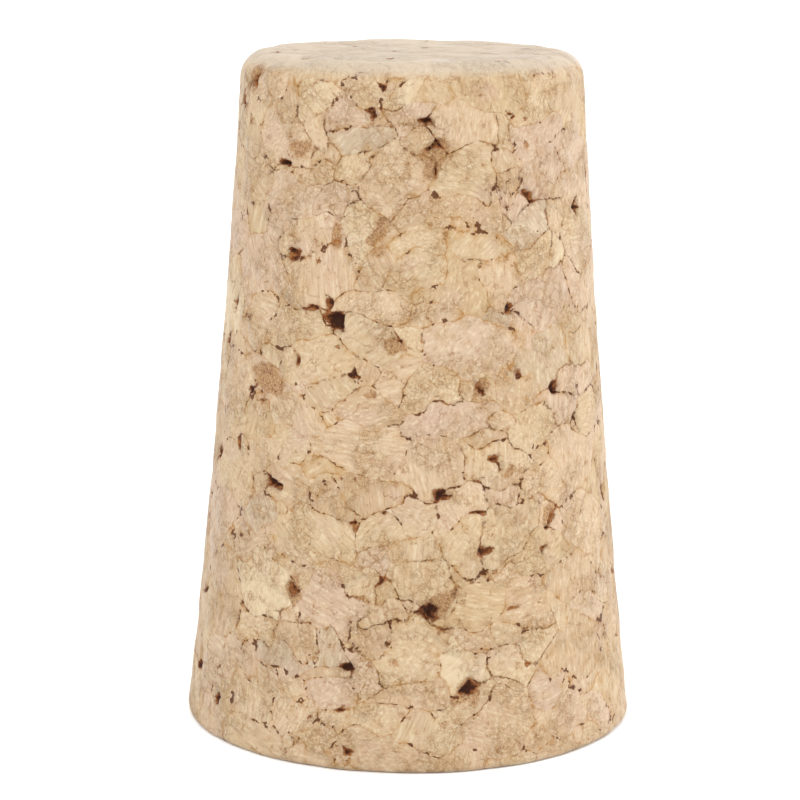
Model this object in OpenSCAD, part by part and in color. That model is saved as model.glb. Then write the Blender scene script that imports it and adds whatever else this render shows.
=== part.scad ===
// Tapered stopper of agglomerated cork, standing on its wide end.
// It is pressed from cork granules and ground as one piece, so it is one node.
// Origin: centre of the wide end face. +Z runs up the stopper to the narrow end.
// Turns are measured from the front (-Y) towards the right (+X).

/* [Stopper] */
// Diameter of the wide end, where the ground side meets the end face
wide_d = 30; // [18:0.5:60]
// Diameter of the narrow end, which goes into the neck of the bottle
narrow_d = 22.3; // [12:0.1:48]
// Distance between the two end faces
length = 44.5; // [24:0.5:90]
// How far the ground side is hollow at mid length, measured from a straight taper
side_hollow = 0.3; // [0:0.05:0.8]

/* [Rims] */
// Radius on the narrow end's rim, which grinding leaves well rounded
narrow_rim_r = 1.8; // [0.4:0.1:3]
// Radius on the wide end's rim, which is nearly sharp
wide_rim_r = 0.4; // [0.2:0.1:2]

/* [Voids] */
// How far below the side a void goes, as a share of its width
void_sink = 0.6; // [0.3:0.05:0.8]

/* [Hidden] */

cork = "#E3C59C";
side_steps = 8;
rim_steps = 6;
ball_pitch = 0.7;

// The larger gaps that the granules leave open in the side, each a row of round hollows
// no further apart than ball_pitch of their width:
// [turn, share of the length up from the wide end, long way, width, lean of the long way]
// Long way and width are in mm, and a positive lean lifts the right end.
VOIDS = [
    [-12, 0.93, 0.9, 0.7, -30],
    [  6, 0.92, 1.3, 0.9, -25],
    [  6, 0.89, 1.3, 0.8,  15],
    [-44, 0.86, 1.3, 0.8,   0],
    [ 40, 0.82, 1.2, 0.8,  30],
    [ 62, 0.80, 1.5, 0.9,  80],
    [-40, 0.74, 1.3, 1.0, -60],
    [-24, 0.64, 2.0, 1.5, -30],
    [-25, 0.67, 1.0, 0.8,  90],
    [-35, 0.59, 1.6, 0.6, -40],
    [ 47, 0.53, 1.3, 0.8,  90],
    [ 25, 0.45, 1.4, 0.7, -60],
    [-41, 0.40, 1.8, 1.2, -20],
    [ 10, 0.40, 1.7, 0.8,   0],
    [ 21, 0.32, 1.4, 0.9,   0],
    [ 42, 0.35, 2.2, 0.9,  60],
    [ 40, 0.30, 1.3, 1.0,   0],
    [  6, 0.24, 1.9, 1.3,  20],
    [-32, 0.25, 1.6, 0.9,  90]
];

// Radius of the ground side at a share t of the length: the straight taper less the hollow.
function side_r(t) = (wide_d + (narrow_d - wide_d) * t) / 2 - 4 * side_hollow * t * (1 - t);

// How far the side leans in from upright at a share t of the length, in degrees.
function side_lean(t) = atan(((wide_d - narrow_d) / 2 + 4 * side_hollow * (1 - 2 * t)) / length);

// Round rim of radius r, whose centre is at this height, from angle a to angle b above level.
// It touches the side where it points along the side's outward normal.
function rim(r, height, a, b) =
    let (
        n = side_lean(height / length),
        t = (height + r * sin(n)) / length,
        centre_r = side_r(t) - r * cos(n)
    )
    [for (i = [0 : rim_steps])
        let (q = a + (b - a) * i / rim_steps)
        [centre_r + r * cos(q), height + r * sin(q)]];

module profile() {
    low = wide_rim_r;
    high = length - narrow_rim_r;
    low_lean = side_lean(low / length);
    high_lean = side_lean(high / length);
    side_from = low + wide_rim_r * sin(low_lean);
    side_to = high + narrow_rim_r * sin(high_lean);
    side = [
        for (i = [1 : side_steps - 1])
            let (z = side_from + (side_to - side_from) * i / side_steps)
            [side_r(z / length), z]
    ];
    polygon(concat(
        [[0, 0]],
        rim(wide_rim_r, low, -90, low_lean),
        side,
        rim(narrow_rim_r, high, high_lean, 90),
        [[0, length]]
    ));
}

// One gap: balls in a row along its long way, close enough to run into one another,
// with their centres just under the side.
module void_cut(turn, share, long_way, width, lean) {
    run = long_way - width;
    gaps = ceil(run / (ball_pitch * width));
    depth = (void_sink - 0.5) * width;
    rotate([0, 0, turn])
        translate([0, depth - side_r(share), share * length])
            rotate([0, -lean, 0])
                for (i = [0 : gaps])
                    translate([run * (i / gaps - 0.5), 0, 0])
                        sphere(d = width, $fn = 24);
}

module cork_stopper() {
    color(cork)
        difference() {
            rotate_extrude($fn = 180) profile();
            for (v = VOIDS) void_cut(v[0], v[1], v[2], v[3], v[4]);
        }
}

cork_stopper();
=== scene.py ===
"""A tapered stopper of agglomerated cork, standing on its wide end on a pale floor.

The cork's granules are pressed ellipsoids. How far each point of the surface is from each granule
is worked out once with numpy and kept on the mesh, so that the pits and joints cut into the mesh and
the colours drawn by the material follow the same granules. Lengths are in millimetres and angles in
degrees until a mesh is made, and turns run from the front (-Y) towards the right (+X).
"""
import math
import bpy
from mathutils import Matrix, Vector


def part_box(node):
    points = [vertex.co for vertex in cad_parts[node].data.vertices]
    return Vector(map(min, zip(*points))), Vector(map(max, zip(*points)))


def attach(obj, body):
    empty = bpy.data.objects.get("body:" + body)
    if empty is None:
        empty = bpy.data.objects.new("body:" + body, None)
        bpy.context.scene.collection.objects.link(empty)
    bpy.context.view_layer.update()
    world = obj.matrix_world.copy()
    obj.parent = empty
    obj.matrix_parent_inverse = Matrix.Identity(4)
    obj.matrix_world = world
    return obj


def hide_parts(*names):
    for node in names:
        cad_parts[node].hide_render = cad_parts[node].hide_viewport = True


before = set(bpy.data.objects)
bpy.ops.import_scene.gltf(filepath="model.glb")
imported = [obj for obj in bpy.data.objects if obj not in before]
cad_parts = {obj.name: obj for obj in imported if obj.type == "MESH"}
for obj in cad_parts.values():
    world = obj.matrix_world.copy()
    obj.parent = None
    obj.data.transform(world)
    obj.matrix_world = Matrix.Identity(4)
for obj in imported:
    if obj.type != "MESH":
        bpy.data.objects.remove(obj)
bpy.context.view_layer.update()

from types import SimpleNamespace

import bpy
import numpy as np
from mathutils import Matrix, Vector

MM = 0.001
NODE = "cork_stopper"
NODE_LOW, NODE_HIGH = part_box(NODE)

# ------------------------ the ground outline

LENGTH = (NODE_HIGH.z - NODE_LOW.z) / MM
WIDE_R = (NODE_HIGH.x - NODE_LOW.x) / 2 / MM
FOOT_R = WIDE_R + 0.05  # where the side would reach the end face if its rim were sharp
NARROW_R = 0.743 * FOOT_R  # 22.3 mm across for 30 mm at the wide end
HOLLOW = 0.3  # below a straight taper at mid length
WIDE_RIM_R = 0.4
NARROW_RIM_R = 1.8

# The mesh: a side of rows and columns between two round end patches, about 0.2 mm a step.
PATCH = 96
COLUMNS = 4 * PATCH
SIDE_ROWS = 194
WIDE_RIM_ROWS = 4
NARROW_RIM_ROWS = 11

# The UV square: the unrolled side in the lower part, and the two ends as discs above it.
UV_SIDE_LEFT, UV_SIDE_RIGHT = 0.002, 0.998
UV_SIDE_LOW, UV_SIDE_TALL = 0.004, 0.65
UV_DISC_R, UV_DISC_UP = 0.162, 0.83
UV_WIDE_END, UV_NARROW_END = 0.17, 0.52


def side_radius(up):
    """Radius of the side at a height: a straight taper less a parabola that is HOLLOW deep midway."""
    t = up / LENGTH
    return FOOT_R + (NARROW_R - FOOT_R) * t - 4 * HOLLOW * t * (1 - t)


def side_lean(up):
    """How far the side's outward normal points above level, in radians: the slope of side_radius."""
    t = up / LENGTH
    return np.arctan((FOOT_R - NARROW_R + 4 * HOLLOW * (1 - 2 * t)) / LENGTH)


def rim_rows(radius, centre_up, start, end, count):
    """Radii, heights and normal angles along a rim's arc, which touches the side along its normal."""
    lean = side_lean(centre_up)
    centre_r = side_radius(centre_up + radius * np.sin(lean)) - radius * np.cos(lean)
    angle = np.linspace(start, end, count)
    return centre_r + radius * np.cos(angle), centre_up + radius * np.sin(angle), angle


def outline():
    """Rows of the side from the wide face's edge to the narrow face's: radii, heights, normal angles."""
    low, high = WIDE_RIM_R, LENGTH - NARROW_RIM_R
    low_lean, high_lean = side_lean(low), side_lean(high)
    wide = rim_rows(WIDE_RIM_R, low, -math.pi / 2, low_lean, WIDE_RIM_ROWS)
    narrow = rim_rows(NARROW_RIM_R, high, high_lean, math.pi / 2, NARROW_RIM_ROWS)
    up = np.linspace(wide[1][-1], narrow[1][0], SIDE_ROWS + 2)[1:-1]
    side = side_radius(up), up, side_lean(up)
    return [np.concatenate(parts) for parts in zip(wide, side, narrow)]


def disc_points():
    """A square grid pressed into a unit disc: each square ring becomes a circle with even steps."""
    a, b = np.meshgrid(*[np.linspace(-1, 1, PATCH + 1)] * 2, indexing="ij")
    flat = np.abs(a) >= np.abs(b)
    with np.errstate(divide="ignore", invalid="ignore"):
        turn_a = np.nan_to_num(math.pi / 4 * b / a)
        turn_b = np.nan_to_num(math.pi / 4 * a / b)
    x = np.where(flat, a * np.cos(turn_a), b * np.sin(turn_b))
    y = np.where(flat, a * np.sin(turn_a), b * np.cos(turn_b))
    return x, y


def stopper_surface():
    """Points, outward normals, quads and UVs of the closed surface.

    The side is the outline turned about the axis. Each end is a pressed square grid, whose outer ring
    is the side's own first or last row. The UV map unrolls the side and lays the ends beside it."""
    radius, up, lean = outline()
    rows = len(radius)
    turn = np.linspace(-math.pi, math.pi, COLUMNS, endpoint=False)
    around = np.stack([np.sin(turn), -np.cos(turn)], 1)
    side = np.empty((rows, COLUMNS, 3))
    side[..., :2] = radius[:, None, None] * around
    side[..., 2] = up[:, None]
    side_out = np.empty_like(side)
    side_out[..., :2] = np.cos(lean)[:, None, None] * around
    side_out[..., 2] = np.sin(lean)[:, None]

    grid = np.arange(rows * COLUMNS).reshape(rows, COLUMNS)
    grid = np.concatenate([grid, grid[:, :1]], 1)
    quads = [np.stack([grid[:-1, :-1], grid[:-1, 1:], grid[1:, 1:], grid[1:, :-1]], -1).reshape(-1, 4)]
    along = np.concatenate([[0], np.cumsum(np.hypot(np.diff(radius), np.diff(up)))])
    u = np.linspace(UV_SIDE_LEFT, UV_SIDE_RIGHT, COLUMNS + 1)
    u, v = np.meshgrid(u, UV_SIDE_LOW + UV_SIDE_TALL * along / along[-1])
    strip = np.stack([u, v], -1)
    uvs = [np.stack([strip[:-1, :-1], strip[:-1, 1:], strip[1:, 1:], strip[1:, :-1]], 2).reshape(-1, 2)]

    points, outs = [side.reshape(-1, 3)], [side_out.reshape(-1, 3)]
    x, y = disc_points()
    inner = np.s_[1:-1, 1:-1]
    column = np.rint(np.arctan2(x, -y) / (2 * math.pi) * COLUMNS).astype(int) + COLUMNS // 2
    for row, sign, middle in ((0, -1, UV_WIDE_END), (rows - 1, 1, UV_NARROW_END)):
        first = sum(len(p) for p in points)
        ids = row * COLUMNS + column % COLUMNS
        ids[inner] = first + np.arange((PATCH - 1) ** 2).reshape(PATCH - 1, -1)
        level = np.full(x.shape, up[row])
        points.append(np.stack([radius[row] * x, radius[row] * y, level], -1)[inner].reshape(-1, 3))
        outs.append(np.tile([0.0, 0.0, sign], ((PATCH - 1) ** 2, 1)))
        order = [(0, 0), (1, 0), (1, 1), (0, 1)][::sign]
        corners = [np.s_[i:PATCH + i, j:PATCH + j] for i, j in order]
        quads.append(np.stack([ids[c] for c in corners], -1).reshape(-1, 4))
        disc = np.stack([middle + UV_DISC_R * x, UV_DISC_UP + UV_DISC_R * y], -1)
        uvs.append(np.stack([disc[c] for c in corners], 2).reshape(-1, 2))
    return [np.concatenate(parts) for parts in (points, outs, quads, uvs)]


# ------------------------ granules

# Tints of a granule, from the greyest to the palest. A granule's tone is its place in this list,
# counted from 0 at the first to 1 at the last.
TINTS = {
    "ash": "#B5A188",
    "gold": "#BDA37F",
    "tan": "#BBA081",
    "straw": "#C0A887",
    "peach": "#C3A98B",
    "rose": "#BFA58D",
    "pale": "#CCB797",
}
TINT_SHARES = (0.04, 0.12, 0.22, 0.27, 0.23, 0.10, 0.02)

# Granules that show on the front: [turn, height, width, height of the granule, lean, tint].
GRANULES = [
    [-5, 42.2, 2.2, 1.7, 0, "pale"],
    [-32, 42.2, 3, 2.6, 0, "pale"],
    [-21, 41.4, 3.4, 2.2, -20, "rose"],
    [-47, 39.3, 5, 3.2, 0, "peach"],
    [-32, 40.2, 2, 2.6, 0, "peach"],
    [-17, 40, 3.8, 1.7, 15, "ash"],
    [-2, 40.8, 2.7, 1.8, 0, "rose"],
    [25, 42.6, 5.8, 2.6, 0, "gold"],
    [-6, 37.6, 4.4, 4, -30, "peach"],
    [-19, 38, 3.3, 2.4, -30, "straw"],
    [19, 38, 4.8, 3.8, 0, "straw"],
    [45, 40, 3.6, 2.2, 0, "rose"],
    [44, 37.6, 5.4, 2.7, 20, "rose"],
    [-32, 33.8, 3.9, 2.7, 10, "peach"],
    [-17, 33.6, 2, 2.9, 0, "pale"],
    [2, 33.8, 4.3, 2.4, -10, "straw"],
    [37, 33.8, 3, 2.4, 0, "ash"],
    [52, 34.8, 3.6, 2.8, 0, "peach"],
    [34, 36.3, 2.1, 2, 0, "tan"],
    [-29, 31, 5, 3.6, 20, "peach"],
    [-11, 31.6, 3.4, 2.5, 30, "tan"],
    [2, 32, 4, 2.4, -10, "straw"],
    [-12, 29.4, 4.8, 2.2, 0, "peach"],
    [-14, 27.6, 4.2, 2.6, -10, "straw"],
    [15, 30.8, 5, 3.4, 0, "gold"],
    [27, 31.2, 2.8, 3, 0, "peach"],
    [43, 29.3, 4.6, 3.4, 20, "rose"],
    [-45, 24, 2.5, 1.8, 20, "tan"],
    [7, 24.6, 4.6, 2.2, 0, "straw"],
    [-5, 24.8, 2.7, 2.2, 0, "peach"],
    [10, 22.4, 6.8, 2.2, 20, "rose"],
    [-49, 21.4, 2.8, 2.6, 0, "gold"],
    [-35, 22.3, 4.6, 2.4, -10, "peach"],
    [-17, 20.8, 6.2, 3, 0, "peach"],
    [-36, 20, 2.1, 2.4, 0, "straw"],
    [5, 19.6, 4.2, 3.4, -20, "peach"],
    [35, 21.4, 4.3, 2.6, 10, "straw"],
    [53, 19.3, 6.6, 3.4, 0, "peach"],
    [-11, 17.7, 6, 2.2, 0, "tan"],
    [-28, 14.8, 5.8, 3.8, -20, "straw"],
    [-8, 15.4, 3.4, 2.4, 20, "straw"],
    [-42, 10.6, 4.6, 3.8, -20, "pale"],
    [-22, 11, 3.8, 3.8, 0, "rose"],
    [-11, 13.8, 2.4, 2, 0, "rose"],
    [4, 12.2, 4.3, 3.2, -20, "straw"],
    [28, 14.8, 5.4, 3, 20, "straw"],
    [14, 15, 2.8, 2.8, 0, "straw"],
    [18, 10.8, 4.2, 4, 20, "gold"],
    [35, 10.6, 3.6, 2.8, 0, "tan"],
    [-37, 6.8, 3.4, 1.6, 0, "ash"],
    [-20, 7.6, 2.8, 1.7, -30, "ash"],
    [-10, 8.4, 2.8, 3, 0, "tan"],
    [2, 7.8, 4.8, 3.2, 0, "straw"],
    [-18, 5.2, 3.2, 2.2, -30, "rose"],
    [2, 5.2, 4.8, 2, 0, "tan"],
    [25, 7, 3, 2.4, 30, "straw"],
    [7, 2.4, 4.2, 2.2, 0, "straw"],
]

# Open gaps that show on the front: [turn, height, long way, width, lean of the long way].
VOIDS = [
    [-12, 41.4, 0.9, 0.6, -40],
    [6, 41, 1.3, 0.8, -25],
    [6, 39.4, 1.4, 0.7, 10],
    [7, 38, 0.8, 0.6, 60],
    [-44, 38, 1.3, 0.7, 0],
    [-9, 43, 0.7, 0.4, 0],
    [32, 41.4, 0.7, 0.4, -50],
    [40, 36.1, 1.2, 0.7, -30],
    [64, 35.2, 1.5, 0.8, 80],
    [14, 36, 0.5, 0.4, 0],
    [-40, 32.6, 1.3, 0.7, -60],
    [-23, 33.2, 0.4, 0.4, 0],
    [-63, 43.1, 1.6, 0.8, 40],
    [-24, 28.4, 1.9, 1.2, -35],
    [-25, 29.6, 1, 0.6, -70],
    [-30, 29.1, 0.6, 0.5, 60],
    [-22, 26.7, 0.7, 0.5, -30],
    [-67, 28.6, 1.6, 0.8, 70],
    [-58, 27.7, 1.6, 0.4, 0],
    [-35, 25.8, 1.6, 0.5, -45],
    [-15, 25, 1.4, 0.4, -25],
    [30, 29.4, 0.8, 0.4, 60],
    [-5, 27.7, 1.2, 0.3, -30],
    [21, 24.2, 1.1, 0.7, 70],
    [47, 23.6, 1.2, 0.6, 90],
    [-54, 23.3, 0.9, 0.7, 60],
    [8, 23.9, 1.6, 0.3, -15],
    [33, 24.9, 0.8, 0.3, -70],
    [57, 21.2, 1, 0.4, 80],
    [-60, 21, 1, 0.6, 80],
    [-58, 19.4, 0.8, 0.5, -60],
    [25, 19.8, 1.5, 0.6, -60],
    [-15, 18.6, 1.2, 0.4, 15],
    [20, 18.6, 0.8, 0.5, 0],
    [-41, 17.6, 1.7, 1.1, -20],
    [10, 17.6, 1.8, 0.6, -5],
    [19, 16.6, 1.1, 0.3, -15],
    [42, 15.2, 1.8, 0.6, 60],
    [40, 13.6, 1.2, 0.8, 10],
    [22, 14, 1.3, 0.7, 10],
    [-15, 15.9, 0.9, 0.3, 80],
    [-7, 12.2, 0.6, 0.3, 25],
    [-32, 11.2, 1.5, 0.6, 85],
    [6, 10.6, 1.7, 1, 20],
    [8, 9, 0.7, 0.3, 90],
    [29, 10.2, 1.3, 0.4, 30],
    [65, 6.8, 1.2, 0.4, -40],
    [-16, 6.8, 1.8, 0.6, -40],
    [-17, 4, 0.8, 0.3, 0],
    [-59, 4.8, 0.7, 0.5, 0],
    [-59, 2.8, 1.2, 0.8, 20],
    [-26, 3.2, 0.5, 0.4, 60],
    [32, 6.4, 0.4, 0.3, 0],
    [15, 5.2, 1.2, 0.7, 40],
    [-15, 1.2, 1.2, 0.4, 0],
    [22, 2, 0.8, 0.3, -60],
]

# Red-brown bark that granules kept, seen on the front: [turn, height, long way, width, lean].
BARK = [
    [-10, 33.8, 2.2, 1.2, 70],
    [-23, 33.8, 1.8, 0.7, 80],
    [7, 38.8, 2.6, 1.4, 60],
    [21, 24.2, 1.6, 1.1, 80],
    [42, 15.8, 2, 0.9, 60],
    [-32, 11.2, 2, 0.9, 85],
    [8, 10.8, 2.4, 1.4, 20],
    [-63, 43.4, 2, 1.2, 30],
    [15, 5.2, 1.8, 1.4, 30],
    [-46, 24.2, 2.8, 2, 0],
    [29, 19, 1.2, 0.6, 0],
    [-38, 39, 1.6, 1, 0],
    [-4, 27, 1.6, 0.8, 10],
    [-11, 24, 1.2, 0.6, -20],
]

# Joints that stand open on the front: [turn, height, long way, width, lean].
OPEN_JOINTS = [
    [-26, 25.4, 7, 2, -12],
    [8, 23.8, 4, 1.4, -10],
    [-18, 28.8, 6, 3, -20],
    [8, 40, 7, 3, 0],
    [26, 19.8, 5, 4, -50],
    [14, 17.6, 8, 2, 0],
    [-14, 15.6, 4, 2.4, 10],
    [24, 14, 8, 2, 10],
    [4, 10.8, 6, 2.4, -20],
    [-42, 8.8, 6, 2, 0],
    [-12, 9.4, 5, 3, -30],
    [-16, 6.4, 5, 2, -30],
    [28, 6.8, 6, 3, 30],
    [-22, 38.4, 8, 4, -20],
    [-38, 32.8, 3, 3, -60],
    [51, 32.8, 3, 5, 60],
    [38, 35.8, 5, 3, -20],
    [53, 22.8, 5, 4, 30],
]

# Random granules, which fill the room that the listed ones leave.
WIDTHS = (1.5, 6.0)  # mm
USUAL_WIDTH = 3.0  # mm
WIDTH_SPREAD = 0.42  # of the width's logarithm
MOST_GRANULES = 1500
PLACES_TRIED = 14  # for each granule, before it is given up
CENTRE_HEIGHTS = (-0.30, 0.16)  # how far out of the surface a centre is, as shares of the width
CLOSENESS = 0.80  # least distance between two centres, as a share of the mean of their widths
FLATTENED = 0.66  # pressing leaves a granule about this share of its width in height
FLATTENED_SPREAD = (0.8, 1.2)  # times that share
NARROWED = (0.7, 1.0)  # its other width, as a share of the first
TIP = 22  # degrees: how far a granule is usually tipped from lying flat
TONE_SPREAD = 0.3  # how far its tone is off the chosen tint, in steps of the list

GROUPS = 6  # neighbouring granules are kept in different groups
FAR = 4.0  # mm: no granule reaches further than this past its own outline
NEIGHBOUR = 1.1  # mm: granules this close to a joint count as neighbours there
LONGEST_HALF = 1.6  # a granule's longest half size is less than this many times its mean one
SEARCHED = 3.0  # mm: how far round a granule the distances to it are worked out
GRANULE_SEED, VOID_SEED, OPEN_SEED, UNEVEN_SEED = 41, 7, 200, 220

# Bends that make outlines wavy, one after another: lump size and reach in mm, and seed.
GRANULE_BENDS = [(2.6, 0.30, 100), (1.2, 0.20, 110)]
GAP_BENDS = [(0.9, 0.12, 310), (0.40, 0.07, 320)]
BARK_BENDS = [(0.8, 0.15, 210)]


def ripples(points, size, seed, waves=24):
    """Smooth seeded noise with a spread of one, whose lumps are about `size` across.

    It is the sum of plane waves in random directions, with lengths near twice the size."""
    rng = np.random.default_rng(seed)
    way = rng.normal(size=(waves, 3))
    way *= (math.pi / size * rng.uniform(0.75, 1.4, waves) / np.linalg.norm(way, axis=1))[:, None]
    phase = rng.uniform(0, 2 * math.pi, waves)
    total = np.zeros(len(points))
    for w, p in zip(way, phase):
        total += np.sin(points @ w + p)
    return total * math.sqrt(2 / waves)


def bent(points, bends):
    """Points moved along all three axes by each bend in turn: its reach times ripples of its size."""
    for size, reach, seed in bends:
        moves = [ripples(points, size, seed + k) for k in range(3)]
        points = points + reach * np.stack(moves, 1)
    return points


def side_place(turn, up):
    """A point on the side, and its axes there: across to the right, up the side, and outward."""
    a, lean = math.radians(turn), side_lean(up)
    radius = side_radius(up)
    across = np.array([math.cos(a), math.sin(a), 0.0])
    level = np.array([math.sin(a), -math.cos(a), 0.0])
    outward = level * math.cos(lean) + np.array([0, 0, math.sin(lean)])
    upward = np.cross(outward, across)
    return level * radius + np.array([0, 0, up]), across, upward, outward


def tilted(across, upward, degrees):
    """Two axes turned in their own plane, the first one towards the second."""
    a = math.radians(degrees)
    return across * math.cos(a) + upward * math.sin(a), upward * math.cos(a) - across * math.sin(a)


class Granules:
    """Pressed ellipsoids: centres, matrices that turn them into unit balls, half sizes and tones."""

    def __init__(self):
        self.centre, self.matrix, self.size, self.tone = [], [], [], []

    def add(self, centre, axes, halves, tone):
        self.centre.append(centre)
        self.matrix.append(np.stack(axes) / np.array(halves)[:, None])
        self.size.append(float(np.mean(halves)))
        self.tone.append(tone)

    def past_outline(self, k, points):
        """Distance from granule k's outline, negative inside: (scaled distance - 1) x mean half size."""
        scaled = np.linalg.norm((points - self.centre[k]) @ self.matrix[k].T, axis=1)
        return (scaled - 1) * self.size[k]


def listed_granules():
    """The granules listed for the front, each lying flat against the side."""
    names = list(TINTS)
    made = Granules()
    for turn, up, wide, tall, lean, tint in GRANULES:
        place, across, upward, outward = side_place(turn, up)
        axes = (*tilted(across, upward, lean), outward)
        halves = (wide / 2, tall / 2, (wide + tall) / 4)
        made.add(bent(place[None], GRANULE_BENDS)[0], axes, halves, names.index(tint) / (len(names) - 1))
    return made


def add_random_granule(made, place, width, rng):
    """One granule at a place: pressed low, spun about the upright, tipped a little, and tinted."""
    spin, tip = rng.uniform(0, 360), rng.normal(0, TIP)
    along, across = tilted(np.array([1.0, 0, 0]), np.array([0, 1.0, 0]), spin)
    along, upright = tilted(along, np.array([0, 0, 1.0]), tip)
    narrowed, flattened = rng.uniform(*NARROWED), FLATTENED * rng.uniform(*FLATTENED_SPREAD)
    tone = rng.choice(len(TINTS), p=TINT_SHARES) + rng.uniform(-TONE_SPREAD, TONE_SPREAD)
    tone = float(np.clip(tone / (len(TINTS) - 1), 0, 1))
    made.add(place, (along, across, upright), width / 2 * np.array([1, narrowed, flattened]), tone)


def pressed_granules(points, outs):
    """The listed granules, then random ones from large to small wherever they still find room.

    Room is measured with heights stretched by 1 / FLATTENED, as if the granules were round: the
    centres keep CLOSENESS times the sum of the two half widths between them."""
    rng = np.random.default_rng(GRANULE_SEED)
    made = listed_granules()
    widths = np.clip(rng.lognormal(math.log(USUAL_WIDTH), WIDTH_SPREAD, MOST_GRANULES), *WIDTHS)
    stretch = np.array([1, 1, 1 / FLATTENED])
    taken = np.array(made.centre) * stretch
    taken_r = np.array([np.mean([g[2], g[3] / FLATTENED]) / 2 for g in GRANULES])
    for width in np.sort(widths)[::-1]:
        for _ in range(PLACES_TRIED):
            k = rng.integers(len(points))
            place = points[k] + outs[k] * rng.uniform(*CENTRE_HEIGHTS) * width
            room = np.linalg.norm(taken - place * stretch, axis=1) - CLOSENESS * (taken_r + width / 2)
            if room.min() < 0:
                continue
            add_random_granule(made, place, width, rng)
            taken = np.vstack([taken, place * stretch])
            taken_r = np.append(taken_r, width / 2)
            break
    return made


def nearest_granules(granules, points):
    """How far each point is past its three nearest granules' outlines, their numbers, and for every
    granule the points close to it with their distances."""
    far = np.full((len(points), 3), FAR)
    who = np.zeros((len(points), 3), int)
    reach = []
    for k, (centre, size) in enumerate(zip(granules.centre, granules.size)):
        reached = LONGEST_HALF * size + SEARCHED
        close = np.nonzero(((points - centre) ** 2).sum(1) < reached ** 2)[0]
        past = np.minimum(granules.past_outline(k, points[close]), FAR)
        reach.append((close, past))
        both = np.concatenate([far[close], past[:, None]], 1)
        ids = np.concatenate([who[close], np.full((len(close), 1), k)], 1)
        order = np.argsort(both, axis=1)[:, :3]
        far[close] = np.take_along_axis(both, order, 1)
        who[close] = np.take_along_axis(ids, order, 1)
    return far, who, reach


def granule_groups(far, who, count):
    """A group for each granule, so that granules which meet are in different groups.

    The granule with the fewest neighbours left is taken off the map until none is left. They then go
    back in the opposite order, each into the group that its neighbours use least."""
    pairs = {}
    for a, b in ((0, 1), (0, 2), (1, 2)):
        near = np.nonzero(far[:, b] - far[:, 0] < NEIGHBOUR)[0]
        for i, j in np.unique(np.sort(who[near][:, [a, b]], axis=1), axis=0):
            pairs.setdefault(int(i), set()).add(int(j))
            pairs.setdefault(int(j), set()).add(int(i))
    left = {k: set(v) for k, v in pairs.items()}
    order = []
    while left:
        k = min(left, key=lambda i: (len(left[i]), i))
        for j in left.pop(k):
            left[j].discard(k)
        order.append(k)
    group = np.zeros(count, int)
    placed = set()
    for k in reversed(order):
        used = np.bincount([group[j] for j in pairs[k] if j in placed], minlength=GROUPS)
        group[k] = int(np.argmin(used))
        placed.add(k)
    return group


def grouped_reach(granules, reach, group, count):
    """For each group, how far each point is past its nearest granule there, with its tone and number."""
    past = np.full((count, GROUPS), FAR)
    tone = np.zeros((count, GROUPS))
    number = np.zeros((count, GROUPS))
    for k, (close, far) in enumerate(reach):
        g = group[k]
        won = far < past[close, g]
        ids = close[won]
        past[ids, g] = far[won]
        tone[ids, g] = granules.tone[k]
        number[ids, g] = k
    return past, tone, number


# ------------------------ gaps, bark and relief

SAME_SIDE = 3.0  # mm in or out within which a listed patch acts, which keeps it off the far side

# Random gaps.
MEETING = 0.30  # mm: three granules meet where the third is no further behind than this
FRONT = 72  # degrees of turn each way that the listed gaps cover
ON_SIDE, ON_RIM = 0.5, 0.97  # upward parts of the normal below which a point is on the side, or rim
VOID_SPACINGS = (2.6, 6.0)  # mm between two gaps
VOID_LENGTHS = (0.5, 2.0)  # mm, with 1 mm the usual one
VOID_SPREAD = 0.4  # of the length's logarithm
VOID_WIDTHS = (0.35, 0.7)  # shares of the length
END_VOID_LENGTH, END_VOID_WIDTH = 0.7, 0.4  # on the finer ends, as shares of the side's

# How gaps follow the joints, and how deep they go.
DRAWN_OUT = 0.20  # how much a gap narrows for each mm off a joint
DRAWN_WITHIN = 0.9  # mm off a joint where that narrowing ends
SWELL = 0.08  # mm that a gap grows by on a joint
VOID_DEPTH, VOID_DEEPENING = 0.20, 0.40  # mm, and what each mm of width adds
VOID_SLOPE = (-0.04, 0.40)  # mm inside a gap's edge where its wall begins and ends
VOID_SEARCHED = 1.5  # mm beyond a gap's length where its distances are worked out

# How joints stand open at random, and in the listed places.
OPEN_LUMP = 1.4  # mm
OPEN_ABOVE = 0.7  # ripple height above which a joint is open
RANDOM_OPEN, LISTED_OPEN = 0.65, 0.75  # times the ripples above that, and in a listed place
MOST_OPEN = 1.5
OPEN_FADE, BARK_FADE = 0.6, 0.5  # how softly the listed patches end, as shares of their size

# Cuts into the ground surface, mm.
OPEN_JOINT_CUT, OPEN_JOINT_REACH = 0.10, 0.15
JOINT_CUT, JOINT_REACH = 0.02, 0.30
UNEVEN_CUT, UNEVEN_LUMP = 0.03, 1.6
DEEPEST_CUT = 1.4
FLAT_RIM = 1.5  # width of the wide end's edge where the cuts run out, so that it stands flat

WIDE_END = 0.9  # downward part of the normal above which a point is on the wide end
SANDED_AND_SHEEN_FROM = (0.45, 0.80)  # upward parts of the normal where the end's finer sanding and a painted sheen fade in


def patch_field(points, places, spread):
    """How far each point is inside the nearest of some ellipses on the side.

    It is 1 at an ellipse's edge, more inside it, and reaches 0 at `spread` half sizes outside it."""
    field = np.full(len(points), -1.0)
    for turn, up, long_way, wide, lean in places:
        centre, across, upward, outward = side_place(turn, up)
        along, aside = tilted(across, upward, lean)
        off = points - centre
        scaled = np.hypot(off @ along / long_way, off @ aside / wide) * 2
        near = np.abs(off @ outward) < SAME_SIDE
        field = np.where(near, np.maximum(field, 1 + (1 - scaled) / spread), field)
    return np.clip(field, -1, 2)


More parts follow.
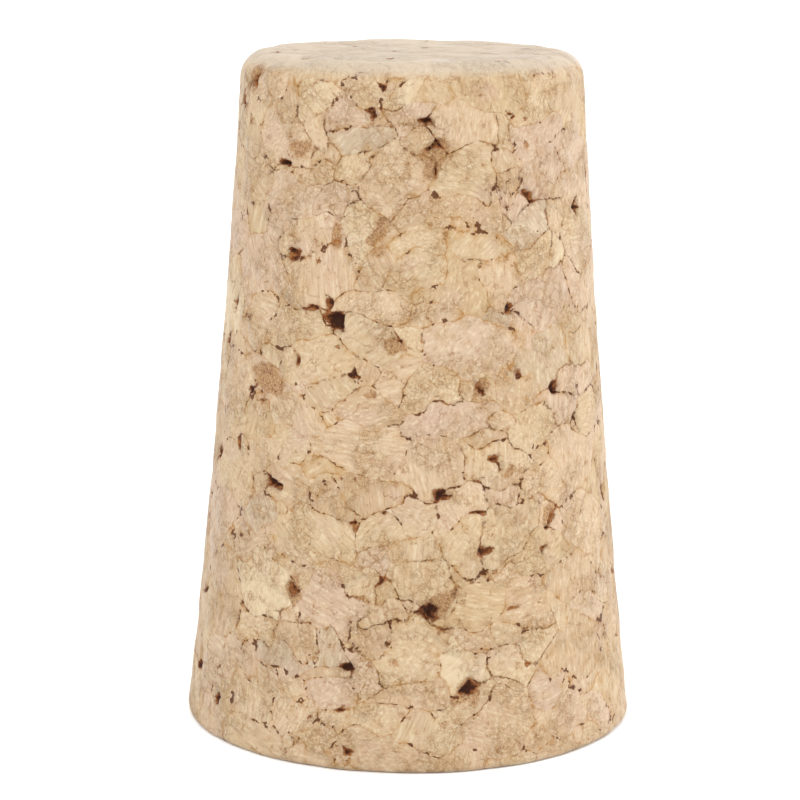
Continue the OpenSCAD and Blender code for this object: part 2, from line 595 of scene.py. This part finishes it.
def random_voids(points, outs, far, rng):
    """Gaps where three granules meet, off the listed front: point, axes, long way and width of each."""
    meeting = np.nonzero(far[:, 2] - far[:, 0] < MEETING)[0]
    turn = np.degrees(np.arctan2(points[:, 0], -points[:, 1]))
    on_side = np.abs(outs[:, 2]) < ON_SIDE
    shown = (np.abs(turn) < FRONT) & (np.abs(outs[:, 2]) < ON_RIM)
    meeting = meeting[~shown[meeting]]
    made, taken = [], np.full((1, 3), 99.0)
    for k in rng.permutation(meeting):
        if np.linalg.norm(taken - points[k], axis=1).min() < rng.uniform(*VOID_SPACINGS):
            continue
        taken = np.vstack([taken, points[k]])
        outward = outs[k]
        across = np.cross([0, 0, 1.0] if on_side[k] else [0, 1.0, 0], outward)
        across /= np.linalg.norm(across)
        axes = tilted(across, np.cross(outward, across), rng.uniform(-90, 90))
        long_way = float(np.clip(rng.lognormal(0.0, VOID_SPREAD), *VOID_LENGTHS))
        wide = long_way * rng.uniform(*VOID_WIDTHS)
        if not on_side[k]:
            long_way, wide = END_VOID_LENGTH * long_way, END_VOID_WIDTH * wide
        made.append((points[k], axes[0], axes[1], outward, long_way, wide))
    return made


def void_field(points, outs, far):
    """How far each point is past the edge of the nearest gap, negative inside, and its full depth.

    Each gap is an ellipse that bulges along the joints, because the distance grows off them."""
    rng = np.random.default_rng(VOID_SEED)
    places = []
    for turn, up, long_way, wide, lean in VOIDS:
        centre, across, upward, outward = side_place(turn, up)
        places.append((centre, *tilted(across, upward, lean), outward, long_way, wide))
    places += random_voids(points, outs, far, rng)
    wavy = bent(points, GAP_BENDS)
    off_joint = np.minimum(far[:, 1] - far[:, 0], DRAWN_WITHIN)
    past = np.full(len(points), 2.0)
    depth = np.zeros(len(points))
    for centre, along, aside, outward, long_way, wide in places:
        close = np.nonzero(((points - centre) ** 2).sum(1) < (long_way + VOID_SEARCHED) ** 2)[0]
        off = wavy[close] - bent(centre[None], GAP_BENDS)
        scaled = np.hypot(off @ along / long_way, off @ aside / wide) * 2
        here = (scaled - 1) * math.sqrt(long_way * wide) / 2 + DRAWN_OUT * off_joint[close] - SWELL
        won = here < past[close]
        past[close[won]] = here[won]
        depth[close[won]] = VOID_DEPTH + VOID_DEEPENING * wide
    return past, depth


def smooth(value, start, end):
    """0 before start, 1 after end, and an S-curve between."""
    t = np.clip((value - start) / (end - start), 0, 1)
    return t * t * (3 - 2 * t)


def cut_depth(points, outs, far, void, void_depth, open_joint):
    """How deep each point is cut into the ground surface, in mm.

    It is the sum of the gaps, a bell curve along the open joints, a finer groove along all joints
    that fades with distance, and slow unevenness. The wide end's edge stays flat."""
    from_joint = (far[:, 1] - far[:, 0]) / 2
    cut = void_depth * smooth(-void, *VOID_SLOPE)
    cut += OPEN_JOINT_CUT * open_joint * np.exp(-((from_joint / OPEN_JOINT_REACH) ** 2))
    cut += JOINT_CUT * np.exp(-from_joint / JOINT_REACH)
    cut += UNEVEN_CUT * (1 + np.clip(ripples(points, UNEVEN_LUMP, UNEVEN_SEED), -1, 1))
    low_end = outs[:, 2] < -WIDE_END
    from_axis = np.hypot(points[low_end, 0], points[low_end, 1])
    cut[low_end] *= smooth(from_axis, WIDE_R, WIDE_R - FLAT_RIM)
    return np.minimum(cut, DEEPEST_CUT)


def keep_fields(mesh, singles, grouped):
    """Store fields on the mesh: single numbers, and one per granule group as two vectors of three."""
    for name, values in singles.items():
        mesh.attributes.new(name, "FLOAT", "POINT").data.foreach_set("value", values.astype(np.float32))
    for half, part in (("a", np.s_[:, :3]), ("b", np.s_[:, 3:])):
        for name, values in grouped.items():
            layer = mesh.attributes.new(f"{name}_{half}", "FLOAT_VECTOR", "POINT")
            layer.data.foreach_set("vector", values[part].astype(np.float32).ravel())


def cork_mesh():
    """The stopper's mesh, ground to its outline, with its gaps and joints cut in and its fields kept."""
    points, outs, quads, uvs = stopper_surface()
    granules = pressed_granules(points, outs)
    far, who, reach = nearest_granules(granules, bent(points, GRANULE_BENDS))
    group = granule_groups(far, who, len(granules.size))
    past, tone, number = grouped_reach(granules, reach, group, len(points))
    void, void_depth = void_field(points, outs, far)
    open_joint = ripples(points, OPEN_LUMP, OPEN_SEED) - OPEN_ABOVE
    open_joint = RANDOM_OPEN * np.clip(open_joint, 0, MOST_OPEN)
    open_joint += LISTED_OPEN * smooth(patch_field(points, OPEN_JOINTS, OPEN_FADE), 0, 1)
    bark = patch_field(bent(points, BARK_BENDS), BARK, BARK_FADE)
    cut = cut_depth(points, outs, far, void, void_depth, open_joint)
    points = points - outs * cut[:, None]
    # the narrow end's top and upper rim: sanding dust, and a painted sheen where light glances off them
    sanded = smooth(outs[:, 2], *SANDED_AND_SHEEN_FROM) * (points[:, 2] > LENGTH / 2)

    mesh = bpy.data.meshes.new("cork stopper")
    mesh.from_pydata((points * MM).tolist(), [], quads.tolist())
    mesh.shade_smooth()
    layer = mesh.uv_layers.new(name="OFBake")
    layer.data.foreach_set("uv", uvs.astype(np.float32).ravel())
    open_joint = np.clip(open_joint, 0, MOST_OPEN)
    singles = {"sanded": sanded, "void": void, "open_joint": open_joint, "bark": bark}
    keep_fields(mesh, singles, {"past": past, "tone": tone, "number": number})
    mesh.validate()
    return mesh


# ------------------------ material

MATH, VECTOR, RANGE = "ShaderNodeMath", "ShaderNodeVectorMath", "ShaderNodeMapRange"
NOISE, CELLS, FIELD = "ShaderNodeTexNoise", "ShaderNodeTexVoronoi", "ShaderNodeAttribute"
RAMP, MIX = "ShaderNodeValToRGB", "ShaderNodeMix"
PARTS, COLOUR_PARTS = "ShaderNodeSeparateXYZ", "ShaderNodeSeparateColor"

# Lump sizes of the patterns, mm. Cork's cells are 0.04 mm, so their rows are drawn coarser to show.
BROAD = 2.4  # patches of tint, nearly as wide as a granule
RINGS = (0.9, 6.0, 6.0)  # growth rings: one year's thickness, and their length both ways
CELL_ROWS = (0.16, 0.30, 1.3)  # rows of cells: thickness, depth and length
MOTTLE = 0.9  # stains and torn places
FRAYS = 0.7  # wavers of the joints
STROKE = 0.45  # unbroken stretches of a joint
SPECK = 0.15  # torn cells and dust
LUMP = 1.6  # spacing of the bark's round pores, and of the cracks in a granule
CRUMB = 0.75  # bits of a crushed granule
BELT_MARKS = 85  # marks of the grinding belt around the side, about 1 mm apart

FRAYED = 0.75  # mm: how far the joints waver
MOTTLE_BEND, SPECK_BEND = 1.3, 0.45  # mm: how far they bend the lumps and crumbs

# Relief below the mesh's own step, mm.
GRAIN_RELIEF = 0.07
GRIT_RELIEF = (0.02, 0.08)  # where the cork is smooth, and where it is torn
WRINKLE_RELIEF = (0.08, 0.36)
CRUMB_RELIEF = 0.10
BELT_RELIEF = 0.012
GAP_RELIEF = -0.10

# Colours laid over the granules' tints, from the first to the last. A list is a ramp's stops. The
# mask of each grows from nothing to its full strength between two values of a noise or a distance.
# The noises lie around 0.5, so a mask that begins above 0.5 covers less than half of the cork.
LAYERS = {
    "warm": "#B08F62",
    "rosy": "#B89C8A",
    "dusky": "#A98A66",
    "bright": "#D9C9AC",
    "dull": "#977853",
    # painted highlights: pale specks where torn cells would catch the light
    "glint": "#DCCDB2",
    "dust": "#A07E55",
    "browned": "#A98759",
    "border": "#AB8148",
    "crack": "#8D6535",
    "split": "#85592A",
    "pore": "#84592F",
    "spot": [(0.40, "#5E3316"), (0.50, "#8A5628"), (0.62, "#A9783F")],
    "bark": [(0.36, "#6B4427"), (0.46, "#946A42"), (0.60, "#AD8B62")],
    "web": "#9E7038",
    "line": [(0.0, "#A4743A"), (0.4, "#7C4A1C"), (1.0, "#40200A")],
    "dash": "#52290F",
    # paler, greyer top of the narrow end: partly sanding dust, partly painted sheen
    "sanded": "#BEB2A1",
    "fringe": "#8E5A2A",
    # gaps: their brown walls, darkening towards the deep middle as painted shade
    "inside": [(0.0, "#3A1B0A"), (0.12, "#6E3C1A"), (0.22, "#945E33"), (0.36, "#A87B4A")],
}


def new_material(name):
    """A material without any nodes yet, and its node tree."""
    material = bpy.data.materials.new(name)
    material.use_nodes = True
    material.node_tree.nodes.clear()
    return material, material.node_tree


def linear(colour):
    """An sRGB hex colour as linear red, green, blue and alpha."""
    parts = [int(colour[i:i + 2], 16) / 255 for i in (1, 3, 5)]
    return (*[p / 12.92 if p <= 0.04045 else ((p + 0.055) / 1.055) ** 2.4 for p in parts], 1.0)


def add(tree, kind, inputs=(), out=0, stops=(), **settings):
    """Add a node with these settings and return one of its outputs, or all of them for out=None.

    Inputs are listed in order or given by name, as values or as other nodes' outputs. A RANGE takes
    a value, the two values it runs between and the result at each. Stops are a colour ramp's places
    and colours."""
    node = tree.nodes.new(kind)
    for name, value in settings.items():
        setattr(node, name, value)
    for name, value in inputs.items() if isinstance(inputs, dict) else enumerate(inputs):
        if isinstance(value, bpy.types.NodeSocket):
            tree.links.new(value, node.inputs[name])
        else:
            node.inputs[name].default_value = value
    if stops:
        elements = node.color_ramp.elements
        elements[0].position, elements[1].position = stops[0][0], stops[-1][0]
        for at, _ in stops[1:-1]:
            elements.new(at)
        for element, (_, colour) in zip(elements, stops):
            element.color = linear(colour)
    return node.outputs if out is None else node.outputs[out]


def granule_fields(tree, place):
    """The nearest granule at a shading point: how far the next one is behind it, its tone and number.

    Fine noise is added to each group's distance, which frays the joints below the mesh's own step."""
    groups = []
    for half, shift in (("a", 11.0), ("b", 47.0)):
        moved = add(tree, VECTOR, [place, (shift,) * 3])
        frays = {"Vector": moved, "Scale": 1 / FRAYS, "Detail": 2.0, "Roughness": 0.65}
        frays = add(tree, NOISE, frays, "Color")
        past = add(tree, FIELD, out="Vector", attribute_name=f"past_{half}")
        past = add(tree, VECTOR, [frays, (FRAYED,) * 3, past], operation="MULTIPLY_ADD")
        parts = [add(tree, PARTS, [past], None)]
        for name in ("tone", "number"):
            field = add(tree, FIELD, out="Vector", attribute_name=f"{name}_{half}")
            parts.append(add(tree, PARTS, [field], None))
        groups += [[part[k] for part in parts] for k in range(3)]
    first, tone, number = groups[0]
    second = add(tree, MATH, [first, 2 * FAR], operation="MAXIMUM")
    for past, its_tone, its_number in groups[1:]:
        closer = add(tree, MATH, [past, first], operation="LESS_THAN")
        behind = add(tree, MATH, [past, first], operation="MAXIMUM")
        second = add(tree, MATH, [second, behind], operation="MINIMUM")
        first = add(tree, MATH, [past, first], operation="MINIMUM")
        tone = add(tree, MIX, {0: closer, 2: tone, 3: its_tone})
        number = add(tree, MIX, {0: closer, 2: number, 3: its_number})
    gap = add(tree, MATH, [second, first], operation="SUBTRACT")
    number = add(tree, MATH, [number], operation="ROUND")
    return gap, tone, number


def cork_fields(tree):
    """What the masks are made from: the place in mm, the fields kept on the mesh, and noises.

    Each granule gets its own three chances, and its rows of cells and growth rings lie its own way."""
    cork = SimpleNamespace()
    object_place = add(tree, "ShaderNodeTexCoord", out="Object")
    cork.place = add(tree, VECTOR, {0: object_place, "Scale": 1 / MM}, operation="SCALE")
    cork.gap, cork.tone, number = granule_fields(tree, cork.place)
    for name in ("void", "open_joint", "bark", "sanded"):
        setattr(cork, name, add(tree, FIELD, out="Fac", attribute_name=name))
    chances = add(tree, "ShaderNodeTexWhiteNoise", {"W": number}, "Color", noise_dimensions="1D")
    cork.chance_a, cork.chance_b, cork.chance_c = add(tree, PARTS, [chances], None)

    noise = {"Vector": cork.place, "Scale": 1 / BROAD, "Detail": 1.0}
    broad = add(tree, NOISE, noise, "Color")
    cork.broad_a, cork.broad_b, cork.broad_c = add(tree, COLOUR_PARTS, [broad], None)
    noise = {"Vector": cork.place, "Scale": 1 / MOTTLE, "Detail": 3.0, "Roughness": 0.65}
    cork.mottle = add(tree, NOISE, noise, "Color")
    cork.mottle_a, cork.mottle_b, cork.mottle_c = add(tree, COLOUR_PARTS, [cork.mottle], None)
    noise = {"Vector": cork.place, "Scale": 1 / SPECK, "Detail": 2.0, "Roughness": 0.7, "Distortion": 0.8}
    cork.speck = add(tree, NOISE, noise, "Color")
    cork.speck_a, cork.speck_b, cork.speck_c = add(tree, COLOUR_PARTS, [cork.speck], None)

    turned = {"Vector": cork.place, "Axis": chances, "Angle": number}
    turned = add(tree, "ShaderNodeVectorRotate", turned, rotation_type="AXIS_ANGLE")
    rows = add(tree, VECTOR, [turned, tuple(1 / size for size in CELL_ROWS)], operation="MULTIPLY")
    cork.grain = add(tree, NOISE, {"Vector": rows, "Scale": 1.0, "Detail": 2.0, "Roughness": 0.6})
    rings = add(tree, VECTOR, [turned, tuple(1 / size for size in RINGS)], operation="MULTIPLY")
    cork.rings = add(tree, NOISE, {"Vector": rings, "Scale": 1.0, "Detail": 1.0})
    return cork


def face_masks(tree, cork):
    """The granules' faces: patches of tint, rings, rows of cells, and painted highlights on torn cells.
    """
    torn = add(tree, MATH, [cork.chance_b, 0.35, cork.broad_c], operation="MULTIPLY_ADD")
    torn = add(tree, RANGE, [torn, 0.56, 0.88, 0.10, 1.0])
    return {
        "warm": [add(tree, RANGE, [cork.mottle_a, 0.48, 0.72, 0.0, 0.50])],
        "rosy": [add(tree, RANGE, [cork.broad_a, 0.50, 0.75, 0.0, 0.45])],
        "dusky": [add(tree, RANGE, [cork.rings, 0.52, 0.75, 0.0, 0.24])],
        "bright": [add(tree, RANGE, [cork.grain, 0.55, 0.65, 0.0, 0.40])],
        "dull": [add(tree, RANGE, [cork.grain, 0.44, 0.34, 0.0, 0.38])],
        "glint": [add(tree, RANGE, [cork.speck_c, 0.56, 0.61, 0.0, 0.50]), torn],
        "dust": [add(tree, RANGE, [cork.speck_b, 0.43, 0.39, 0.0, 0.60]), torn],
    }


def joint_masks(tree, cork):
    """The joints, as bands in the gap between the nearest two granules, and how far each is open.

    A thin tan web follows all of them. Dark lines widen where a joint stands open, and finer noise
    breaks them into strokes. Stains lie along them on some granules only, and short dashes are
    places where the binder failed."""
    strength = add(tree, RANGE, [cork.mottle_b, 0.55, 0.73, 0.0, 1.0])
    strength = add(tree, MATH, [cork.open_joint, strength], operation="ADD", use_clamp=True)
    frayed = add(tree, RANGE, [cork.speck_b, 0.38, 0.60, 0.35, 1.1])
    strength = add(tree, MATH, [strength, frayed], operation="MULTIPLY")

    width = add(tree, MATH, [strength, 0.17, 0.09], operation="MULTIPLY_ADD")
    core = add(tree, MATH, [width, 0.25], operation="MULTIPLY")
    line = add(tree, RANGE, [cork.gap, width, core, 0.0, 1.0])
    seen = add(tree, MATH, [cork.broad_b, cork.mottle_c], operation="ADD")
    seen = add(tree, RANGE, [seen, 0.92, 1.16, 0.04, 0.70], interpolation_type="SMOOTHSTEP")
    seen = add(tree, MATH, [seen, strength], operation="MAXIMUM")
    strokes = {"Vector": cork.place, "Scale": 1 / STROKE, "Detail": 2.0, "Distortion": 0.5}
    strokes = add(tree, NOISE, strokes)
    broken = add(tree, RANGE, [strokes, 0.43, 0.51, 0.10, 1.0])

    web = add(tree, RANGE, [cork.gap, 0.13, 0.04, 0.0, 1.0])
    webbed = add(tree, RANGE, [cork.mottle_a, 0.45, 0.60, 0.04, 0.62])
    border = add(tree, RANGE, [cork.gap, 0.70, 0.0, 0.0, 0.62])
    stained = add(tree, RANGE, [cork.mottle_a, 0.44, 0.64, 0.15, 1.0])
    sides = add(tree, RANGE, [cork.chance_c, 0.35, 0.75, 0.15, 1.0])

    dash = add(tree, RANGE, [strokes, 0.54, 0.68, 0.0, 0.42])
    dashed = add(tree, RANGE, [cork.broad_a, 0.46, 0.56, 0.0, 1.0])
    dash = add(tree, MATH, [dash, dashed], operation="MULTIPLY")
    dash = add(tree, MATH, [dash, cork.gap], operation="SUBTRACT")
    dash = add(tree, RANGE, [dash, 0.0, 0.08, 0.0, 0.9], interpolation_type="SMOOTHSTEP")
    masks = {
        "line": [line, seen, broken],
        "web": [web, webbed],
        "border": [border, stained, sides],
        "dash": [dash],
    }
    return masks, strength


def gap_masks(tree, cork):
    """The open gaps and the browned fringe round them, and how deep a point lies in a gap, which darkens
    the gaps' brown as painted shade.

    Noise makes their edges ragged, and they are drawn out into points along the joints."""
    void = add(tree, MATH, [cork.speck_b, 0.30, cork.void], operation="MULTIPLY_ADD")
    void = add(tree, MATH, [cork.mottle_a, 0.60, void], operation="MULTIPLY_ADD")
    void = add(tree, MATH, [void, 0.45], operation="SUBTRACT")
    drawn = add(tree, RANGE, [cork.gap, 0.0, 0.35, -0.13, 0.10])
    void = add(tree, MATH, [void, drawn], operation="ADD")
    inside = add(tree, RANGE, [void, 0.02, -0.02, 0.0, 1.0], interpolation_type="SMOOTHSTEP")
    fringe = add(tree, RANGE, [void, 0.13, 0.02, 0.0, 1.0])
    fringes = add(tree, RANGE, [cork.mottle_c, 0.48, 0.60, 0.0, 0.60])
    # how deep in a gap a point lies: the inside ramp turns this into painted shade
    depth = add(tree, MATH, [cork.speck_a, 0.3, void], operation="MULTIPLY_ADD")
    depth = add(tree, MATH, [cork.mottle_b, 0.7, depth], operation="MULTIPLY_ADD")
    depth = add(tree, MATH, [depth, 0.25], operation="SUBTRACT")
    return {"inside": [inside], "fringe": [fringe, fringes]}, depth


def bark_masks(tree, cork, crumpled):
    """What granules keep of the bark: soft brown pores, round pores, red-brown skin and thin cracks."""
    pore = add(tree, MATH, [cork.chance_a, 0.12, cork.mottle_a], operation="MULTIPLY_ADD")
    pore = add(tree, MATH, [cork.speck_a, 0.35, pore], operation="MULTIPLY_ADD")
    pore = add(tree, RANGE, [pore, 0.90, 1.02, 0.0, 0.85], interpolation_type="SMOOTHSTEP")
    bark = add(tree, MATH, [cork.mottle_b, 3.0, cork.bark], operation="MULTIPLY_ADD")
    bark = add(tree, MATH, [cork.speck_b, 1.2, bark], operation="MULTIPLY_ADD")
    bark = add(tree, RANGE, [bark, 2.5, 3.4, 0.0, 0.85], interpolation_type="SMOOTHSTEP")

    lumps = {"Vector": crumpled, "Scale": 1 / LUMP}
    from_middle, lump, *_ = add(tree, CELLS, lumps, None)
    size, darkness, _ = add(tree, COLOUR_PARTS, [lump], None)
    radius = add(tree, RANGE, [size, 0.55, 1.0, 0.0, 0.16])
    spot = add(tree, MATH, [radius, from_middle], operation="SUBTRACT")
    spot = add(tree, MATH, [cork.speck_b, 0.22, spot], operation="MULTIPLY_ADD")
    spot = add(tree, RANGE, [spot, 0.11, 0.14, 0.0, 0.9])
    split = add(tree, CELLS, lumps, feature="DISTANCE_TO_EDGE")
    split = add(tree, RANGE, [split, 0.045, 0.0, 0.0, 1.0])
    splits = add(tree, RANGE, [cork.mottle_c, 0.50, 0.62, 0.0, 0.75])
    return {"pore": [pore], "bark": [bark], "spot": [spot, darkness], "split": [split, splits]}


def crumb_masks(tree, cork, crumpled):
    """Patches of crushed cork: a brown tint and cracks as masks, and the crumbs' own heights."""
    crumbly = add(tree, RANGE, [cork.broad_c, 0.47, 0.60, 0.0, 1.0])
    crumbs = {"Vector": crumpled, "Scale": 1 / CRUMB}
    crumb = add(tree, CELLS, crumbs, "Color")
    crumb = add(tree, COLOUR_PARTS, [crumb])
    crumb = add(tree, MATH, [crumb, crumbly], operation="MULTIPLY")
    crack = add(tree, CELLS, crumbs, feature="DISTANCE_TO_EDGE")
    crack = add(tree, RANGE, [crack, 0.08, 0.0, 0.0, 0.60])
    return {"browned": [crumb, 0.32], "crack": [crack, crumbly]}, crumb


def layered_colour(tree, cork, masks, shades):
    """The granules' own tints and every layer over them, each granule a little lighter or darker.

    A layer's mask is the product of its parts. Shades say where along its ramp a layer is."""
    tints = [(k / (len(TINTS) - 1), colour) for k, colour in enumerate(TINTS.values())]
    colour = add(tree, RAMP, [cork.tone], stops=tints)
    for name, over in LAYERS.items():
        laid = add(tree, RAMP, [shades[name]], stops=over) if name in shades else linear(over)
        mask, *parts = masks[name]
        for part in parts:
            mask = add(tree, MATH, [mask, part], operation="MULTIPLY")
        colour = add(tree, MIX, {0: mask, 6: colour, 7: laid}, 2, data_type="RGBA")
    shade = add(tree, MATH, [cork.chance_b, 0.035, 0.86], operation="MULTIPLY_ADD")
    return add(tree, VECTOR, {0: colour, "Scale": shade}, operation="SCALE")


def cork_relief(tree, cork, crumb, inside):
    """The surface's fine height in mm as a bump: grain, grit, wrinkles, crumbs, belt marks and gaps."""
    across, inward, _ = add(tree, PARTS, [cork.place], None)
    turn = add(tree, MATH, [across, inward], operation="ARCTAN2")
    marks = add(tree, MATH, [turn, BELT_MARKS, cork.broad_b], operation="MULTIPLY_ADD")
    marks = add(tree, MATH, [marks], operation="SINE")
    marked = add(tree, RANGE, [cork.broad_c, 0.42, 0.62, 0.0, 1.0])
    marks = add(tree, MATH, [marks, marked], operation="MULTIPLY")

    height = add(tree, MATH, [cork.grain, GRAIN_RELIEF], operation="MULTIPLY")
    for noise, reliefs in ((cork.speck_a, GRIT_RELIEF), (cork.mottle_b, WRINKLE_RELIEF)):
        relief = add(tree, RANGE, [cork.broad_c, 0.45, 0.62, *reliefs])
        height = add(tree, MATH, [noise, relief, height], operation="MULTIPLY_ADD")
    height = add(tree, MATH, [crumb, CRUMB_RELIEF, height], operation="MULTIPLY_ADD")
    height = add(tree, MATH, [marks, BELT_RELIEF, height], operation="MULTIPLY_ADD")
    height = add(tree, MATH, [inside, GAP_RELIEF, height], operation="MULTIPLY_ADD")
    return add(tree, "ShaderNodeBump", {"Height": height, "Strength": 0.8, "Distance": MM})


def cork_material():
    """Agglomerated cork: sifted bark granules pressed with a little binder, then ground and left raw.

    Grinding leaves it matt and nearly smooth. The eye sees pale granules of many tints, thin brown
    joints that open here and there into ragged brown gaps, and brown pores and bits of outer bark.
    The narrow end's finer sanding leaves dust that makes it paler and greyer, and a painted sheen on its
    top and upper rim makes it paler still."""
    material, tree = new_material("agglomerated_cork_pressed_and_ground")
    cork = cork_fields(tree)
    crumpled = add(tree, VECTOR, [cork.mottle, (MOTTLE_BEND,) * 3, cork.place], operation="MULTIPLY_ADD")
    crumpled = add(tree, VECTOR, [cork.speck, (SPECK_BEND,) * 3, crumpled], operation="MULTIPLY_ADD")
    joints, strength = joint_masks(tree, cork)
    gaps, depth = gap_masks(tree, cork)
    crumbs, crumb = crumb_masks(tree, cork, crumpled)
    masks = {**face_masks(tree, cork), **joints, **gaps, **bark_masks(tree, cork, crumpled), **crumbs}
    # sanding dust and painted sheen on the narrow end's top and upper rim
    masks["sanded"] = [cork.sanded, 0.62]
    shades = {"spot": cork.speck_c, "bark": cork.speck_c, "line": strength, "inside": depth}
    surface = {
        "Base Color": layered_colour(tree, cork, masks, shades),
        "Roughness": add(tree, RANGE, [cork.grain, 0.3, 0.7, 0.84, 0.70]),
        "Normal": cork_relief(tree, cork, crumb, gaps["inside"][0]),
        "IOR": 1.45,
        "Specular IOR Level": 0.25,
        "Sheen Weight": 0.20,
        "Sheen Roughness": 0.3,
    }
    surface = add(tree, "ShaderNodeBsdfPrincipled", surface)
    add(tree, "ShaderNodeOutputMaterial", [surface], None)
    return material


# ------------------------ the piece, floor, light and camera

FLOOR_HALF = 6.0  # metres, wide enough to fill every view


def new_object(name, data):
    """An object in the scene that shows this mesh, lamp or camera."""
    made = bpy.data.objects.new(name, data)
    bpy.context.scene.collection.objects.link(made)
    return made


def make_stopper():
    """The ground stopper as one closed mesh, standing for its CAD node."""
    stopper = new_object("ground_cork", cork_mesh())
    stopper.data.materials.append(cork_material())
    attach(stopper, "root")
    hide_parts(NODE)


def paper_material():
    """Uncoated white paper: its fibres scatter the light evenly, so it shows no shine at all."""
    material, tree = new_material("white_paper_uncoated")
    surface = add(tree, "ShaderNodeBsdfDiffuse", {"Color": linear("#F9F9F9")})
    add(tree, "ShaderNodeOutputMaterial", [surface], None)
    return material


def make_floor():
    """A plain, nearly white square floor."""
    mesh = bpy.data.meshes.new("floor")
    corners = np.array([(-1, -1, 0), (1, -1, 0), (1, 1, 0), (-1, 1, 0)]) * FLOOR_HALF
    mesh.from_pydata(corners.tolist(), [], [(0, 1, 2, 3)])
    mesh.materials.append(paper_material())
    floor = new_object("floor", mesh)


def looking(place, target, roll=0.0):
    """A matrix that puts a lamp or camera at a place, facing a target, rolled by some degrees."""
    turn = (target - place).to_track_quat("-Z", "Y").to_matrix().to_4x4()
    return Matrix.Translation(place) @ turn @ Matrix.Rotation(math.radians(roll), 4, "Z")


def direction(turn, lift):
    """Unit vector towards a place seen at this turn from the front and this lift above level."""
    a, b = math.radians(turn), math.radians(lift)
    return Vector((math.sin(a) * math.cos(b), -math.cos(a) * math.cos(b), math.sin(b)))


# Studio softboxes around the stopper: name, turn, lift, distance and side in metres, watts.
SOFTBOXES = [
    ("key", -28, 43, 0.80, 0.45, 3.0),
    ("fill", 40, 22, 0.90, 0.80, 1.2),
    ("right_rim", 100, 22, 0.70, 0.50, 2.6),
    ("sweep", 180, 62, 1.40, 1.20, 4.5),
]
SKY = 1.0  # strength of the plain white sky


def make_lights(middle):
    """A plain white sky, and softboxes whose key comes from the upper left of the front."""
    world = bpy.data.worlds.new("studio")
    world.use_nodes = True
    background = world.node_tree.nodes["Background"]
    background.inputs["Color"].default_value = linear("#FFFFFF")
    background.inputs["Strength"].default_value = SKY
    bpy.context.scene.world = world
    for name, turn, lift, distance, side, watts in SOFTBOXES:
        light = bpy.data.lights.new(name, "AREA")
        light.size, light.energy = side, watts
        lamp = new_object(name, light)
        lamp.visible_camera = False
        lamp.matrix_world = looking(middle + distance * direction(turn, lift), middle)


CAMERA_LIFT = 11.1  # degrees above level
CAMERA_DISTANCE = 0.1907  # metres from the middle of the stopper
CAMERA_LENS = 128.4  # mm
CAMERA_SENSOR = 36.0  # mm
CAMERA_ROLL = 0.37  # degrees
CAMERA_AIM = (-0.67, -1.07)  # mm to the camera's right and up, from the middle of the stopper


def make_camera(middle):
    """A long lens, just above the stopper and a little off its middle."""
    data = bpy.data.cameras.new("camera")
    data.lens, data.sensor_width = CAMERA_LENS, CAMERA_SENSOR
    data.clip_start, data.clip_end = 0.01, 30.0
    camera = new_object("camera", data)
    place = middle + CAMERA_DISTANCE * direction(0, CAMERA_LIFT)
    view = looking(place, middle)
    right, above = view.col[0].to_3d(), view.col[1].to_3d()
    aim = middle + MM * (CAMERA_AIM[0] * right + CAMERA_AIM[1] * above)
    camera.matrix_world = looking(place, aim, CAMERA_ROLL)
    bpy.context.scene.camera = camera


MIDDLE = Vector((0, 0, (NODE_LOW.z + NODE_HIGH.z) / 2))
make_camera(MIDDLE)
make_stopper()
make_floor()
make_lights(MIDDLE)
bpy.context.scene.view_settings.view_transform = "Standard"
